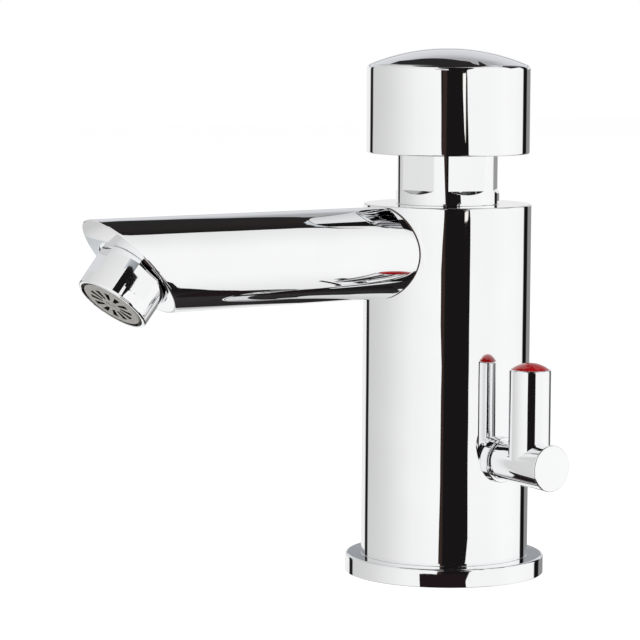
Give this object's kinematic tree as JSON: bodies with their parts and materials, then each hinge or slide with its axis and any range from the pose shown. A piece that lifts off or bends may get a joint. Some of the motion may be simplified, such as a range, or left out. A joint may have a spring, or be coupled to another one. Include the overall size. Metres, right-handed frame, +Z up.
{
  "type": "self-closing basin mixer tap",
  "caption": "Cylindrical basin tap with a large push cap, a straight oblique-ended spout with aerator and a side temperature lever.",
  "frame": {"origin": "centre of the underside, on the column's axis, in the plane that rests on the basin", "axes": "+Z up along the column, spout towards -Y, temperature lever towards +X"},
  "size_m": [0.0778, 0.1579, 0.1565],
  "materials": {
    "chrome": "polished chrome plate on brass",
    "brass": "machined",
    "steel": "drawn stainless steel",
    "rubber": "moulded black rubber",
    "cream_plastic": "satin moulded plastic",
    "white_plastic": "satin moulded plastic",
    "red_plastic": "glossy moulded plastic"
  },
  "bodies": {
    "tap_body": {"base_flange": "chrome", "body": "chrome", "spout": "chrome", "aerator_collar": "chrome", "head_nut": "chrome", "side_gland": "chrome", "guide_bush": "brass", "valve_seat": "brass", "cartridge_sleeve": "brass", "return_spring": "steel", "stop_pin": "steel", "aerator_screen": "steel", "base_gasket": "rubber", "spout_gasket": "rubber", "aerator_seal": "rubber", "stem_o_ring": "rubber", "cartridge_gasket": "rubber", "seat_gasket": "rubber", "gland_o_ring": "rubber", "aerator_insert": "cream_plastic", "hot_check_valve": "white_plastic", "cold_check_valve": "white_plastic"},
    "push_unit": {"push_cap": "chrome", "push_stem": "steel", "stem_lock_nut": "brass", "stem_clip": "steel", "piston": "white_plastic", "piston_clips": "steel", "piston_lip_seal": "rubber", "seat_washer": "rubber", "closing_disc": "brass", "closing_disc_nut": "brass"},
    "lever_unit": {"mixing_lever": "chrome", "red_index_disc": "red_plastic", "lever_grub_screw": "steel", "mixing_spool": "brass", "spool_o_rings": "rubber"}
  },
  "joints": [
    {"name": "button_press", "type": "slide", "parent": "tap_body", "child": "push_unit", "axis": [0, 0, -1], "range_m": [0, 0.007], "stiffness_N_per_m": 1500, "springref_m": -0.01, "deforming": ["return_spring"]},
    {"name": "lever_turn", "type": "hinge", "parent": "tap_body", "child": "lever_unit", "pos_m": [0, 0, 0.0365], "axis": [1, 0, 0], "range_deg": [-45, 45]}
  ]
}
